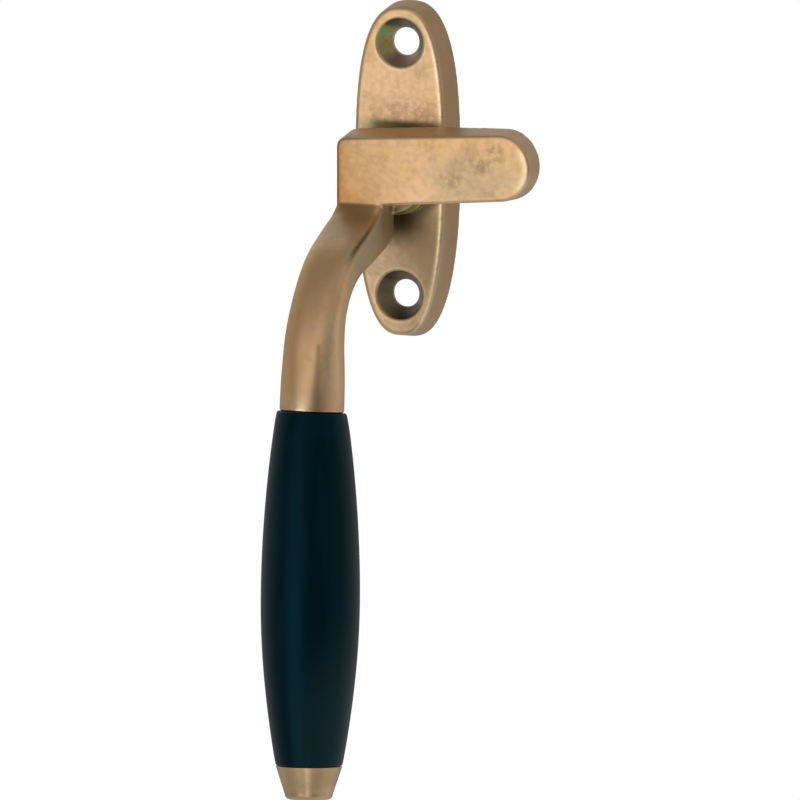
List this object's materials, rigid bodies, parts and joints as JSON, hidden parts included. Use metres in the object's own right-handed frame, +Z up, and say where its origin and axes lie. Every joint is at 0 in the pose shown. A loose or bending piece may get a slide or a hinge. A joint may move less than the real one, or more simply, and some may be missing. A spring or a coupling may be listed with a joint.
{
  "type": "casement window fastener",
  "caption": "Turning casement window fastener: bronze base plate with countersunk holes, bar-shaped nose on a gooseneck lever and a barrel-shaped ebony grip with a bronze end ferrule.",
  "frame": {"origin": "where the pivot axis meets the sash face, in the plane of the base plate's back", "axes": "+Z up along the base plate, +X towards the nose's tip, -Y out of the sash into the room along the pivot axis"},
  "size_m": [0.0463, 0.0616, 0.1585],
  "materials": {
    "plate_bronze": "tumbled satin cast bronze with light patina",
    "lever_bronze": "tumbled satin cast bronze with light patina",
    "ferrule_bronze": "turned satin bronze",
    "bearing_brass": "turned",
    "yellow_zinc": "yellow passivated zinc",
    "pin_steel": "ground",
    "spring_steel": "oiled black",
    "stud_steel": "bright zinc",
    "ebony": "polished satin ebony"
  },
  "bodies": {
    "plate": {"base_plate": "plate_bronze", "pivot_bushing": "bearing_brass", "stop_pin": "pin_steel", "thrust_washer": "yellow_zinc", "wave_washer": "spring_steel"},
    "lever": {"lever_arm": "lever_bronze", "pivot_pin": "pin_steel", "rear_washer": "yellow_zinc", "retaining_ring": "spring_steel", "grip_stud": "stud_steel", "ebony_grip": "ebony", "grip_spring_washer": "spring_steel", "end_ferrule": "ferrule_bronze"}
  },
  "joints": [
    {"name": "lever_turn", "type": "hinge", "parent": "plate", "child": "lever", "pos_m": [0, 0, 0], "axis": [0, 1, 0], "range_deg": [0, 90]}
  ]
}
